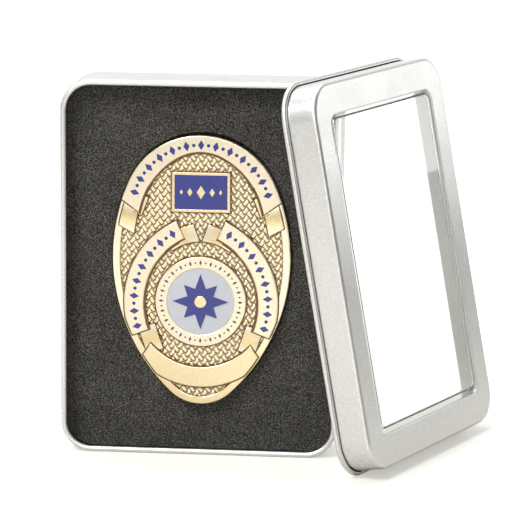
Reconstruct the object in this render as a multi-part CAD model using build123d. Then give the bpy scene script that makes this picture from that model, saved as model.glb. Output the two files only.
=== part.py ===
"""Badge case: a shallow tinplate tray standing on its short side, a curved oval badge
lying in the tray's foam, and the tray's windowed lid, lifted off and leaning beside it.

Millimetres, +Z up. The origin is the middle of the side that the tray stands on, the
tray's open front faces -Y, and +X is to the right. Most pieces are drawn lying flat,
with the face that the viewer sees upwards, and are then stood up as one.
"""
from build123d import *
from math import acos, cos, degrees, hypot, radians, sin, sqrt, tan
import os

# Tinplate, for the tray and the lid
sheet = 0.3

# Tray
tray_width = 85.0
tray_height = 115.5
tray_depth = 20.0
tray_corner = 9.5
tray_fold = 2.0
floor_panel_inset = 5.0
floor_panel_rise = 0.5

# Rolled edges, the tray's inwards and the lid's outwards, with the open slot that each leaves
# in degrees.
# They are rolled in flats, finer on the half that shows.
rim_radius = 0.9
bead_radius = 0.85
roll_gap = 80.0
roll_shown = 180.0
roll_shown_sides = 6
roll_hidden_sides = 2
roll_inner_sides = 3

# Foam in the tray
foam_play = 0.4
foam_recess_below_rim = 6.0
backing_thickness = 3.0
recess_play = 0.4
recess_floor_play = 0.2
pin_slot_side = 2.0

# Lid
lid_play = 0.3
lid_depth = 11.0
lid_fold = 1.2
face_side = 9.2
face_end = 9.85
window_corner = 3.5
hem_depth = 1.2
hem_bevel = 0.25

# Clear insert behind the lid's window
pane_thickness = 0.5
pane_wall_play = 1.0
pane_step_in = 1.3
pane_step_below_face = 0.2
pane_step_up = 0.4

# The leaning lid: its turn about the upright in degrees, how far its foot stands out from
# the tray's side and back from the tray's front, and the gap over the tray's top corner
lid_turn = 66.85
lid_foot_out = 21.35
lid_foot_back = 12.76
lean_gap = 0.06

# Badge outline: crown, long sides and foot are tangent arcs
badge_half_width = 27.3
badge_top = 41.0
badge_bottom = 42.3
badge_shoulder = 3.0
crown_radius = 24.3
badge_offset_x = 0.3

# Badge heights, measured outwards from the curved plate's face at its middle
bend_radius = 240.0
plate_thickness = 2.2
edge_above_foam = 1.65
rim_width = 2.3
rim_rise = 0.8
field_rise = 0.35
ribbon_rise = 1.25
tail_rise = 0.85
top_tail_rise = 1.05
tail_margin = 1.2
banner_margin = 0.7
fold_rise = 1.15

# Crown banner: its inner edge is a two-centred arch, its ends lie on rays from a centre
crown_banner_centre_up = 3.2
crown_banner_half_angle = 54.4
arch_radius = 24.0
arch_centre_out = 5.0
arch_centre_up = 13.0
arch_round = 14.0

# Side banners, as arcs about a centre on the far side of the badge's middle line
side_banner_centre_out = 4.8
side_banner_centre_down = 11.0
side_banner_inner = 22.1
side_banner_width = 6.4
side_banner_start_angle = 115.5
side_banner_end_angle = 202.0

# Foot banner
foot_banner_centre_down = 10.7
foot_banner_inner = 20.0
foot_banner_width = 6.2
foot_banner_half_angle = 46.0
foot_banner_taper_angle = 4.0

# Tails and folds of the banners: where each starts, its heading in degrees from straight
# down, its width and length, and the slant of its far end in degrees
top_tail_out = 21.5
top_tail_up = 19.5
top_tail_heading = 10.4
top_tail_width = 5.0
top_tail_length = 8.1
top_tail_slant = 17.6
top_fold_out = 17.3
top_fold_up = 22.0
top_fold_heading = 21.4
top_fold_width = 2.6
top_fold_length = 6.0
upper_tail_out = 9.5
upper_tail_up = 7.27
upper_tail_heading = 109.3
upper_tail_width = 7.4
upper_tail_length = 8.9
upper_tail_arch = 14.4
upper_tail_arch_down = 6.0
lower_tail_out = 16.6
lower_tail_down = 18.4
lower_tail_heading = 18.9
lower_tail_width = 5.2
lower_tail_length = 8.2

# Framed enamel panel
panel_centre_y = 23.6
panel_width = 17.8
panel_height = 12.2
panel_border = 0.85
panel_rise = 1.35
panel_sink = 0.2

# Round seal
seal_centre_down = 10.2
seal_radius = 13.9
seal_enamel_radius = 10.3
seal_ring_rise = 1.4
seal_rise = 1.2
motif_long_ray = 8.6
motif_short_ray = 7.2
motif_waist_radius = 4.3
motif_rays = 8
motif_rise = 0.2
boss_radius = 1.9
boss_rise = 0.55

# Pin on the badge's back
pin_plate_width = 6.0
pin_plate_length = 44.0
pin_plate_thickness = 0.6
pivot_from_end = 5.0
catch_from_end = 6.0
pin_stand_off = 1.6
ear_thickness = 0.6
ear_radius = 1.3
pivot_radius = 0.4
pivot_play = 0.05
eye_radius = 0.95
eye_width = 1.2
eye_side_play = 0.1
needle_radius = 0.4
needle_past_catch = 2.0
catch_play = 0.1
catch_wall = 0.6
catch_length = 3.0

# Sizes that follow from the driving ones
lid_width = tray_width + 2 * (lid_play + sheet)
lid_height = tray_height + 2 * (lid_play + sheet)
lid_corner = tray_corner + lid_play + sheet
window_width = lid_width - 2 * face_side
window_height = lid_height - 2 * face_end
bead_out = bead_radius - sheet
lid_lean = degrees(acos((tray_height + lean_gap) / (lid_height + 2 * bead_out)))
seal_centre_y = -seal_centre_down
pin_pivot_y = pin_plate_length / 2 - pivot_from_end
pin_catch_y = catch_from_end - pin_plate_length / 2
edge_drop = bend_radius - sqrt(bend_radius ** 2 - badge_half_width ** 2)
edge_face = rim_rise - edge_drop
edge_back = -plate_thickness - edge_drop
badge_face_below_rim = foam_recess_below_rim + edge_face - edge_above_foam
foam_face = -foam_recess_below_rim
foam_back = -tray_depth + sheet + floor_panel_rise + backing_thickness


# Outlines

def rounded(width, height, corner):
    """Rounded rectangle about the origin."""
    return RectangleRounded(width, height, corner)


def ring_path(width, height, corner):
    """Closed rounded-rectangle path that starts in the middle of the lower side."""
    x = width / 2
    y = height / 2
    turn = corner * (1 - cos(radians(45)))
    points = [
        ((x - corner, -y), (x - turn, -y + turn), (x, -y + corner)),
        ((x, y - corner), (x - turn, y - turn), (x - corner, y)),
        ((-x + corner, y), (-x + turn, y - turn), (-x, y - corner)),
        ((-x, -y + corner), (-x + turn, -y + turn), (-x + corner, -y)),
    ]
    edges = []
    last = (0, -y)
    for start, middle, end in points:
        edges.append(Line(last, start))
        edges.append(ThreePointArc(start, middle, end))
        last = end
    edges.append(Line(last, (0, -y)))
    return Wire([edge.edge() if hasattr(edge, "edge") else edge for edge in edges])


def rolled_edge(width, height, corner, centre_in, centre_up, radius, first):
    """Sheet rolled clockwise into a tube along a rounded rectangle.

    The tube's centre lies centre_in inside the outline and centre_up above its plane; the
    roll starts at the angle first, where 0 points inwards.
    """
    turn = 360 - roll_gap

    def walk(reach, start, sweep_angle, sides):
        points = []
        for side in range(sides + 1):
            angle = radians(start + side * sweep_angle / sides)
            points.append((centre_in + reach * cos(angle), centre_up + reach * sin(angle)))
        return points

    shown = walk(radius, first, -roll_shown, roll_shown_sides)
    hidden = walk(radius, first - roll_shown, roll_shown - turn, roll_hidden_sides)
    inside = walk(radius - sheet, first - turn, turn, roll_inner_sides)
    plane = Plane(origin=(0, -height / 2, 0), x_dir=(0, 1, 0), z_dir=(1, 0, 0))
    return sweep(sections=plane * closed(shown + hidden[1:] + inside), path=ring_path(width, height, corner))


def flat_of(radius):
    """Chamfer whose flat touches the middle of an arc of that radius."""
    return radius * (2 - sqrt(2))


def badge_radii():
    """Radii of the badge's long sides and foot, each tangent to its neighbour."""
    lift = badge_top - crown_radius - badge_shoulder
    side = badge_half_width ** 2 + lift ** 2 - crown_radius ** 2
    side /= 2 * (badge_half_width - crown_radius)
    drop = badge_shoulder + badge_bottom
    foot = side ** 2 - (side - badge_half_width) ** 2 - drop ** 2
    foot /= 2 * (side - drop)
    return side, foot


def badge_outline(inset=0.0):
    """The badge's egg shape, drawn inset from its edge (outset if negative)."""
    side, foot = badge_radii()
    side_x = side - badge_half_width
    crown_y = badge_top - crown_radius
    foot_y = foot - badge_bottom
    crown_reach = (crown_radius - inset) / hypot(side_x, crown_y - badge_shoulder)
    foot_reach = (foot - inset) / hypot(side_x, foot_y - badge_shoulder)
    upper_x = side_x * crown_reach
    upper_y = crown_y + (crown_y - badge_shoulder) * crown_reach
    lower_x = side_x * foot_reach
    lower_y = foot_y + (foot_y - badge_shoulder) * foot_reach
    wide = badge_half_width - inset
    return make_face([
        ThreePointArc((upper_x, upper_y), (0, badge_top - inset), (-upper_x, upper_y)),
        ThreePointArc((-upper_x, upper_y), (-wide, badge_shoulder), (-lower_x, lower_y)),
        ThreePointArc((-lower_x, lower_y), (0, inset - badge_bottom), (lower_x, lower_y)),
        ThreePointArc((lower_x, lower_y), (wide, badge_shoulder), (upper_x, upper_y)),
    ])


def polar(centre_x, centre_y, radius, angle):
    """Point at a radius and an angle in degrees about a centre."""
    return (centre_x + radius * cos(radians(angle)), centre_y + radius * sin(radians(angle)))


def arc_band(centre_x, centre_y, inner, outer, start, end, taper=0.0):
    """Flat ribbon bent along an arc; taper turns the inner corners outwards, in degrees."""
    middle = (start + end) / 2
    low = start - taper
    high = end + taper
    return make_face([
        ThreePointArc(polar(centre_x, centre_y, outer, start),
                      polar(centre_x, centre_y, outer, middle),
                      polar(centre_x, centre_y, outer, end)),
        Line(polar(centre_x, centre_y, outer, end), polar(centre_x, centre_y, inner, high)),
        ThreePointArc(polar(centre_x, centre_y, inner, high),
                      polar(centre_x, centre_y, inner, middle),
                      polar(centre_x, centre_y, inner, low)),
        Line(polar(centre_x, centre_y, inner, low), polar(centre_x, centre_y, outer, start)),
    ])


def closed(points):
    """Straight-sided face through the given points."""
    return make_face(Polyline(*points, close=True))


def strip(start_x, start_y, heading, width, length, slant=0.0):
    """Straight tail from a point, headed at an angle from straight down, its end slanted."""
    half = width / 2
    shift = half * tan(radians(slant))
    tail = closed([(-half, 0), (-half, shift - length), (half, -shift - length), (half, 0)])
    return Pos(start_x, start_y) * Rot(0, 0, heading) * tail


# Curved layers of the badge

def layer(face, low, high):
    """A face given thickness between two heights over the badge's curved plate."""
    reach = badge_top + badge_bottom
    block = extrude(Pos(0, 0, -reach / 4) * face, reach / 2, dir=(0, 0, 1))
    axis = Pos(0, 0, -bend_radius) * Rot(90, 0, 0)
    outer = axis * Cylinder(bend_radius + high, 2 * reach)
    inner = axis * Cylinder(bend_radius + low, 3 * reach)
    return (block & outer) - inner


def both_sides(name, solid):
    """A piece drawn on the left and its mirror on the right."""
    return {name + "_left": solid, name + "_right": mirror(solid, about=Plane.YZ)}


# Tray

def make_tray_shell():
    """Pressed tray: flat floor with a raised panel, upright walls, rim rolled inwards."""
    wall_height = tray_depth - rim_radius
    outer = extrude(Pos(0, 0, -tray_depth) * rounded(tray_width, tray_height, tray_corner), wall_height)
    outer = chamfer(outer.edges().group_by(Axis.Z)[0], flat_of(tray_fold))
    inner_outline = rounded(tray_width - 2 * sheet, tray_height - 2 * sheet, tray_corner - sheet)
    inner = extrude(Pos(0, 0, -tray_depth + sheet) * inner_outline, wall_height)
    inner = chamfer(inner.edges().group_by(Axis.Z)[0], flat_of(tray_fold - sheet))
    panel_out = rounded(tray_width - 2 * floor_panel_inset, tray_height - 2 * floor_panel_inset,
                        tray_corner - floor_panel_inset / 2)
    panel_in = offset(panel_out, -sheet, kind=Kind.ARC)
    raised = extrude(Pos(0, 0, -tray_depth) * panel_out, floor_panel_rise + sheet)
    hollow = extrude(Pos(0, 0, -tray_depth) * panel_in, floor_panel_rise)
    roll = rolled_edge(tray_width, tray_height, tray_corner, rim_radius, -rim_radius, rim_radius, 180)
    return (outer - inner) + raised - hollow + roll


def make_foam_backing():
    """Pad between the tray's floor and the foam bed."""
    width = tray_width - 2 * (sheet + foam_play)
    height = tray_height - 2 * (sheet + foam_play)
    pad = extrude(Pos(0, 0, foam_back) * rounded(width, height, tray_corner - sheet - foam_play),
                  -backing_thickness)
    return chamfer(pad.edges().group_by(Axis.Z)[0], flat_of(tray_fold - sheet))


def make_foam_bed():
    """Foam with the badge's shallow oval recess, and a slot through it for the pin."""
    width = tray_width - 2 * (sheet + foam_play)
    height = tray_height - 2 * (sheet + foam_play)
    bed = extrude(Pos(0, 0, foam_back) * rounded(width, height, tray_corner - sheet - foam_play),
                  foam_face - foam_back)
    recess_floor = -badge_face_below_rim + edge_back - recess_floor_play
    recess = extrude(Pos(badge_offset_x, 0, recess_floor) * badge_outline(-recess_play), tray_depth)
    slot_width = pin_plate_width + 2 * pin_slot_side
    slot_height = pin_plate_length + 2 * pin_slot_side
    slot = extrude(Pos(badge_offset_x, 0, foam_back) * rounded(slot_width, slot_height, pin_slot_side),
                   tray_depth)
    return bed - recess - slot


# Badge

def make_badge_body():
    """Curved oval plate with a plain raised rim."""
    plate = layer(badge_outline(), -plate_thickness, 0)
    return plate + layer(badge_outline() - badge_outline(rim_width), 0, rim_rise)


def make_woven_field():
    """Thin field inside the rim that carries the basket weave."""
    return layer(badge_outline(rim_width), 0, field_rise)


def crown_banner_face():
    """Banner that follows the badge's crown, with its two ends cut square."""
    arch = Pos(arch_centre_out, arch_centre_up) * Circle(arch_radius)
    arch &= Pos(-arch_centre_out, arch_centre_up) * Circle(arch_radius)
    arch = fillet(arch.vertices().sort_by(Axis.Y)[-1], arch_round)
    reach = 2 * badge_top
    ends = closed([
        (0, crown_banner_centre_up),
        polar(0, crown_banner_centre_up, reach, 90 - crown_banner_half_angle),
        polar(0, crown_banner_centre_up, reach, 90 + crown_banner_half_angle),
    ])
    return (badge_outline() - arch) & ends


def over_rim(face, rise, margin=0.0):
    """Stamping that lies on the field and over the rim, up to a margin from the badge's edge."""
    on_field = layer(face & badge_outline(rim_width), field_rise, rise)
    on_rim = (face & badge_outline(margin)) - badge_outline(rim_width)
    return on_field + layer(on_rim, rim_rise, rise)


def make_top_ribbon():
    """The crown banner, lying on the field and over the rim."""
    return over_rim(crown_banner_face(), ribbon_rise)


def top_fold_face():
    """The bend between the crown banner's end and its tail (left)."""
    bend = strip(-top_fold_out, top_fold_up, -top_fold_heading, top_fold_width, top_fold_length)
    return bend - crown_banner_face()


def make_top_fold():
    """The bend, standing a little higher than the tail."""
    return layer(top_fold_face(), field_rise, fold_rise)


def make_top_tail():
    """The crown banner's end, turned under and hanging down inside the rim (left)."""
    face = strip(-top_tail_out, top_tail_up, -top_tail_heading, top_tail_width, top_tail_length,
                 top_tail_slant)
    return over_rim(face - crown_banner_face() - top_fold_face(), top_tail_rise, tail_margin)


def side_banner_face():
    """Banner along the left side of the seal."""
    return arc_band(side_banner_centre_out, -side_banner_centre_down, side_banner_inner,
                    side_banner_inner + side_banner_width, side_banner_start_angle, side_banner_end_angle)


def foot_banner_face():
    """Blank banner below the seal, with pointed inner ends."""
    return arc_band(0, -foot_banner_centre_down, foot_banner_inner, foot_banner_inner + foot_banner_width,
                    270 - foot_banner_half_angle, 270 + foot_banner_half_angle, foot_banner_taper_angle)


def make_side_ribbon():
    """The left banner, its lower end lying over the rim."""
    return over_rim(side_banner_face(), ribbon_rise, banner_margin)


def make_upper_tail():
    """End of the left banner that is turned under towards the middle, arched below."""
    face = strip(-upper_tail_out, upper_tail_up, upper_tail_heading, upper_tail_width, upper_tail_length)
    face -= Pos(0, -upper_tail_arch_down) * Circle(upper_tail_arch)
    return layer(face - side_banner_face(), field_rise, tail_rise)


def make_lower_tail():
    """End of the left banner that is turned under and runs down behind the foot banner."""
    face = strip(-lower_tail_out, -lower_tail_down, lower_tail_heading, lower_tail_width, lower_tail_length)
    face = (face & badge_outline(rim_width)) - side_banner_face() - foot_banner_face()
    return layer(face, field_rise, tail_rise)


def make_foot_ribbon():
    """The blank banner, its two ends lying over the rim."""
    return over_rim(foot_banner_face(), ribbon_rise, banner_margin)


def make_panel_frame():
    """Raised frame with a shallow bed for its enamel."""
    outline = Pos(0, panel_centre_y) * Rectangle(panel_width, panel_height)
    bed = Pos(0, panel_centre_y) * Rectangle(panel_width - 2 * panel_border, panel_height - 2 * panel_border)
    frame = layer(outline, field_rise, panel_rise)
    return frame - layer(bed, (field_rise + panel_rise) / 2, panel_rise + 1)


def make_panel_enamel():
    """Enamel that fills the frame to just below its edge."""
    bed = Pos(0, panel_centre_y) * Rectangle(panel_width - 2 * panel_border, panel_height - 2 * panel_border)
    return layer(bed, (field_rise + panel_rise) / 2, panel_rise - panel_sink)


def seal_disc(radius):
    """Disc about the seal's centre."""
    return Pos(0, seal_centre_y) * Circle(radius)


def make_seal_ring():
    """Flat ring that stands a little above the enamel inside it."""
    return layer(seal_disc(seal_radius) - seal_disc(seal_enamel_radius), field_rise, seal_ring_rise)


def make_seal_enamel():
    """White enamel disc inside the ring."""
    return layer(seal_disc(seal_enamel_radius), field_rise, seal_rise)


def motif_face():
    """Star of long and short rays by turns, about the seal's centre."""
    points = []
    for ray in range(motif_rays):
        angle = 90 + ray * 360 / motif_rays
        tip = motif_long_ray if ray % 2 == 0 else motif_short_ray
        points.append(polar(0, seal_centre_y, tip, angle))
        points.append(polar(0, seal_centre_y, motif_waist_radius, angle + 180 / motif_rays))
    return closed(points)


def make_seal_motif():
    """Blue enamel star."""
    return layer(motif_face() - seal_disc(boss_radius), seal_rise, seal_rise + motif_rise)


def make_seal_boss():
    """Gilt boss at the star's middle."""
    return layer(seal_disc(boss_radius), seal_rise, seal_rise + boss_rise)


# Pin on the back of the badge. Heights here are below the plate's face.

plate_back = -plate_thickness
pin_level = plate_back - pin_plate_thickness - pin_stand_off


def make_pin_plate():
    """Strip that carries the hinge and the catch."""
    strip = rounded(pin_plate_width, pin_plate_length, pin_plate_width / 4)
    return layer(strip, plate_back - pin_plate_thickness, plate_back)


def upright(length, centre_x, centre_y, low, high):
    """Plate standing square to the badge's back, thin across."""
    return Pos(centre_x, centre_y, (low + high) / 2) * Box(ear_thickness, length, high - low)


def make_pin_hinge():
    """Two round-topped ears and the rivet between them."""
    ear_x = eye_width / 2 + eye_side_play + ear_thickness / 2
    top = plate_back - pin_plate_thickness
    hinge = Rot(0, 90, 0) * Cylinder(pivot_radius, 2 * ear_x + ear_thickness)
    hinge = Pos(0, pin_pivot_y, pin_level) * hinge
    for side in (-1, 1):
        ear = upright(2 * ear_radius, side * ear_x, pin_pivot_y, pin_level, top)
        ear += Pos(side * ear_x, pin_pivot_y, pin_level) * Rot(0, 90, 0) * Cylinder(ear_radius, ear_thickness)
        hinge += ear
    return hinge


def make_pin_needle():
    """Needle with an eye round the hinge's rivet and a pointed tip past the catch."""
    tip_y = pin_catch_y - needle_past_catch
    point = 4 * needle_radius
    start = pin_pivot_y - (eye_radius + pivot_radius) / 2
    shaft_length = start - tip_y - point
    shaft = Pos(0, start - shaft_length / 2, pin_level) * Rot(90, 0, 0) * Cylinder(needle_radius, shaft_length)
    tip = Cone(needle_radius, needle_radius / 4, point)
    tip = Pos(0, tip_y + point / 2, pin_level) * Rot(90, 0, 0) * tip
    eye = Pos(0, pin_pivot_y, pin_level) * Rot(0, 90, 0) * Cylinder(eye_radius, eye_width)
    hole = Pos(0, pin_pivot_y, pin_level) * Rot(0, 90, 0) * Cylinder(pivot_radius + pivot_play, 2 * eye_width)
    return shaft + tip + eye - hole


def make_pin_catch():
    """Cradle that the needle snaps into from behind."""
    top = plate_back - pin_plate_thickness
    gap = needle_radius + catch_play
    width = 2 * (gap + catch_wall)
    height = top - pin_level + needle_radius + catch_wall
    block = Pos(0, pin_catch_y, top - height / 2) * Box(width, catch_length, height)
    slot = Pos(0, pin_catch_y, pin_level - height / 2) * Box(2 * gap, 2 * catch_length, height)
    seat = Pos(0, pin_catch_y, pin_level) * Rot(90, 0, 0) * Cylinder(gap, 2 * catch_length)
    return block - slot - seat


# Lid, drawn flat with its face at height 0

def window_outline(grow=0.0):
    """The window's opening, grown by a margin."""
    return rounded(window_width + 2 * grow, window_height + 2 * grow, window_corner + grow)


def make_lid_shell():
    """Pressed frame: face with a hemmed window, short walls, edge rolled outwards."""
    wall = lid_depth - bead_radius
    outer = extrude(Pos(0, 0, -wall) * rounded(lid_width, lid_height, lid_corner), wall)
    outer = chamfer(outer.edges().group_by(Axis.Z)[-1], flat_of(lid_fold))
    inner = extrude(Pos(0, 0, -wall) * rounded(lid_width - 2 * sheet, lid_height - 2 * sheet, lid_corner - sheet),
                    wall - sheet)
    inner = chamfer(inner.edges().group_by(Axis.Z)[-1], flat_of(lid_fold - sheet))
    frame = outer - inner
    frame += extrude(Pos(0, 0, -hem_depth) * window_outline(sheet), hem_depth)
    frame -= extrude(Pos(0, 0, -lid_depth) * window_outline(), 2 * lid_depth)
    top_edges = frame.edges().group_by(Axis.Z)[-1]
    window_edges = [edge for edge in top_edges if abs(edge.center().X) < window_width / 2 + sheet
                    and abs(edge.center().Y) < window_height / 2 + sheet]
    frame = chamfer(window_edges, hem_bevel)
    bead = rolled_edge(lid_width, lid_height, lid_corner, -bead_out, bead_radius - lid_depth, bead_radius, 0)
    return frame + bead


def make_window_pane():
    """Clear insert: flange under the window's hem, and a raised middle."""
    margin = sheet + pane_wall_play
    width = lid_width - 2 * margin
    height = lid_height - 2 * margin
    corner = lid_corner - margin
    top = -hem_depth
    flange = extrude(Pos(0, 0, top - pane_thickness) * rounded(width, height, corner), pane_thickness)
    step_top = -pane_step_below_face
    step = extrude(Pos(0, pane_step_up, top - pane_thickness) * window_outline(-pane_step_in),
                   step_top - top + pane_thickness)
    inner = window_outline(-pane_step_in - pane_thickness)
    hollow = extrude(Pos(0, pane_step_up, top - 2 * pane_thickness) * inner, step_top - top + pane_thickness)
    return flange + step - hollow


# Places in the finished frame

case_place = Pos(0, -tray_depth / 2, tray_height / 2) * Rot(90, 0, 0)
badge_place = case_place * Pos(badge_offset_x, 0, -badge_face_below_rim)
lid_foot = (tray_width / 2 + lid_foot_out, lid_foot_back - tray_depth / 2, bead_radius)
lid_place = Pos(*lid_foot) * Rot(0, 0, lid_turn) * Rot(90 - lid_lean, 0, 0)
lid_place = lid_place * Pos(0, lid_height / 2 + bead_out, lid_depth - bead_radius)


def all_pieces():
    """Every piece by its node's name, standing in its place."""
    case = {
        "tray_shell": make_tray_shell(),
        "foam_backing": make_foam_backing(),
        "foam_bed": make_foam_bed(),
    }
    badge = {
        "badge_body": make_badge_body(),
        "woven_field": make_woven_field(),
        "top_ribbon": make_top_ribbon(),
        "left_ribbon": make_side_ribbon(),
        "right_ribbon": mirror(make_side_ribbon(), about=Plane.YZ),
        "foot_ribbon": make_foot_ribbon(),
        "panel_frame": make_panel_frame(),
        "panel_enamel": make_panel_enamel(),
        "seal_ring": make_seal_ring(),
        "seal_enamel": make_seal_enamel(),
        "seal_motif": make_seal_motif(),
        "seal_boss": make_seal_boss(),
        "pin_plate": make_pin_plate(),
        "pin_hinge": make_pin_hinge(),
        "pin_needle": make_pin_needle(),
        "pin_catch": make_pin_catch(),
    }
    badge.update(both_sides("top_tail", make_top_tail()))
    badge.update(both_sides("top_fold", make_top_fold()))
    badge.update(both_sides("upper_tail", make_upper_tail()))
    badge.update(both_sides("lower_tail", make_lower_tail()))
    lid = {
        "lid_shell": make_lid_shell(),
        "window_pane": make_window_pane(),
    }
    placed = {}
    for place, group in ((case_place, case), (badge_place, badge), (lid_place, lid)):
        for name, piece in group.items():
            placed[name] = place * piece
    return placed


os.makedirs("parts", exist_ok=True)
for node, piece in all_pieces().items():
    piece.label = node
    export_step(piece, f"parts/{node}.step")
    print(node, round(piece.volume, 2))
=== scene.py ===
from math import acos, cos, hypot, pi, radians, sin, sqrt

import bmesh
import bpy
from mathutils import Matrix, Vector
from mathutils.bvhtree import BVHTree


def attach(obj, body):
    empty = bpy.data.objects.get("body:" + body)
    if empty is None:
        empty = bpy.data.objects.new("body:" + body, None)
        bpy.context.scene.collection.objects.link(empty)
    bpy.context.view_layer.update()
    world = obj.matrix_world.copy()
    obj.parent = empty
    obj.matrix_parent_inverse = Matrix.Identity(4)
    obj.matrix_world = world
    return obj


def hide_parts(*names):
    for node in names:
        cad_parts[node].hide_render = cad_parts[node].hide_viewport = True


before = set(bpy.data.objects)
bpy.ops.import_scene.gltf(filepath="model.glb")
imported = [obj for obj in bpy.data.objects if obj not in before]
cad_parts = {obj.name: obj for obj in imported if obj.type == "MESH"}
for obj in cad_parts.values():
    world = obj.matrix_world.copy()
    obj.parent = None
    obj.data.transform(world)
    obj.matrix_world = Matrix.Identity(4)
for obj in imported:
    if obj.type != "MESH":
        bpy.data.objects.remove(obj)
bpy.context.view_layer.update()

scene = bpy.context.scene
scene.view_settings.view_transform = "Standard"

MM = 0.001

# Sizes in millimetres, as the part's source gives them; outlines are (width, height, corner)
SHEET = 0.3
TRAY = (85.0, 115.5, 9.5)
TRAY_DEPTH = 20.0
TRAY_FOLD = 2.0
RIM_R = 0.9
PANEL_INSET = 5.0
PANEL_RISE = 0.5
LID = (86.2, 116.7, 10.1)
LID_DEPTH = 11.0
LID_FOLD = 1.2
BEAD_R = 0.85
SLOT = 80.0  # degrees of a rolled edge left open
WINDOW = (67.8, 97.0, 3.5)
HEM = 1.2
PANE = 0.5
PANE_IN = 1.3
PANE_UP = 0.4
FOAM_TOP = -6.0
FOAM_PLAY = 0.4
BADGE_X = 0.3
BADGE_DEEP = 3.5926
BEND_R = 240.0
BEAD_OUT = BEAD_R - SHEET
BEAD_UP = BEAD_R - LID_DEPTH

# Places of the three groups: each is drawn flat, its viewed face upwards, then stood up
LID_FOOT = (63.85, 2.76, BEAD_R)
LID_TURN = radians(66.85)
LEAN_PLAY = 0.06
LEAN = acos((TRAY[1] + LEAN_PLAY) / (LID[1] + 2 * BEAD_OUT))
SCALE = Matrix.Scale(MM, 4)
CASE_PLACE = SCALE @ Matrix.Translation((0, -TRAY_DEPTH / 2, TRAY[1] / 2)) @ Matrix.Rotation(pi / 2, 4, "X")
BADGE_PLACE = CASE_PLACE @ Matrix.Translation((BADGE_X, 0, -BADGE_DEEP))
LID_PLACE = (SCALE @ Matrix.Translation(LID_FOOT) @ Matrix.Rotation(LID_TURN, 4, "Z")
             @ Matrix.Rotation(pi / 2 - LEAN, 4, "X") @ Matrix.Translation((0, LID[1] / 2 + BEAD_OUT, -BEAD_UP)))


# Camera

def place_camera():
    """Long lens from the front, a little to the right and above, turned back to the case and rolled slightly."""
    yaw, pitch, roll = radians(-5.436), radians(10.893), radians(0.4583)
    ahead = Vector((sin(yaw) * cos(pitch), cos(yaw) * cos(pitch), -sin(pitch)))
    level = Vector((cos(yaw), -sin(yaw), 0))
    above = level.cross(ahead)
    right = level * cos(roll) + above * sin(roll)
    up = above * cos(roll) - level * sin(roll)
    data = bpy.data.cameras.new("camera")
    data.sensor_width = 36.0
    data.lens = 233.65
    data.clip_start = 0.05
    data.clip_end = 50.0
    camera = bpy.data.objects.new("camera", data)
    scene.collection.objects.link(camera)
    turn = Matrix((right, up, -ahead)).transposed()
    camera.matrix_world = Matrix.Translation((0.11041, -0.99023, 0.25245)) @ turn.to_4x4()
    scene.camera = camera


place_camera()


# Shader helpers

def new_group(name, inputs, outputs):
    """Empty node group with the named sockets."""
    group = bpy.data.node_groups.new(name, "ShaderNodeTree")
    for socket, kind, value in inputs:
        item = group.interface.new_socket(socket, in_out="INPUT", socket_type="NodeSocket" + kind)
        if value is not None:
            item.default_value = value
    for socket, kind in outputs:
        group.interface.new_socket(socket, in_out="OUTPUT", socket_type="NodeSocket" + kind)
    return group


class Sheet:
    """Adds and links nodes in one tree."""

    def __init__(self, tree):
        self.tree = tree

    def add(self, kind, links=None, **values):
        node = self.tree.nodes.new("ShaderNode" + kind if not kind.startswith("Node") else kind)
        for key, value in values.items():
            setattr(node, key, value)
        for socket, source in (links or {}).items():
            if isinstance(source, (int, float, tuple, list)):
                node.inputs[socket].default_value = source
            else:
                self.tree.links.new(source, node.inputs[socket])
        return node

    def feed(self, source, shader, socket):
        self.tree.links.new(source, shader.inputs[socket])

    def math(self, operation, a, b, clamp=False):
        return self.add("Math", {0: a, 1: b}, operation=operation, use_clamp=clamp).outputs[0]

    def ramp(self, source, low, high, start=0.0, end=1.0):
        sockets = {"Value": source, "From Min": low, "From Max": high, "To Min": start, "To Max": end}
        return self.add("MapRange", sockets).outputs["Result"]

    def mix(self, factor, a, b):
        """Colour between two, each a socket or a colour without its alpha."""
        a, b = ((*tone, 1) if isinstance(tone, tuple) else tone for tone in (a, b))
        return self.add("Mix", {0: factor, 6: a, 7: b}, data_type="RGBA").outputs[2]

    def noise(self, vector, scale, detail=2.0, roughness=0.5):
        sockets = {"Vector": vector, "Scale": scale, "Detail": detail, "Roughness": roughness}
        return self.add("TexNoise", sockets).outputs["Fac"]

    def bump(self, shader, height, strength, distance):
        """Bump into a shader's normal, its distance in metres."""
        node = self.add("Bump", {"Height": height, "Strength": strength, "Distance": distance})
        self.feed(node.outputs[0], shader, "Normal")


def grain_group():
    """Fine satin grain of rolled tinplate: a height for bump and a mask for roughness."""
    group = new_group("satin_grain", [("Vector", "Vector", None), ("Scale", "Float", 1.0)],
                      [("Height", "Float"), ("Mask", "Float")])
    s = Sheet(group)
    inside = s.add("NodeGroupInput")
    outside = s.add("NodeGroupOutput")
    scaled = s.add("VectorMath", {0: inside.outputs["Vector"], 3: inside.outputs["Scale"]}, operation="SCALE")
    fine = s.noise(scaled.outputs[0], 3600.0, 3.0, 0.6)
    flecks = s.noise(scaled.outputs[0], 1900.0, 2.0, 0.6)
    clouds = s.noise(scaled.outputs[0], 60.0, 3.0, 0.55)
    height = s.math("ADD", s.math("MULTIPLY", fine, 0.6), s.math("MULTIPLY", flecks, 0.4))
    group.links.new(height, outside.inputs["Height"])
    mask = s.math("ADD", s.math("MULTIPLY", clouds, 0.5), s.math("MULTIPLY", fine, 0.5))
    group.links.new(mask, outside.inputs["Mask"])
    return group


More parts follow.
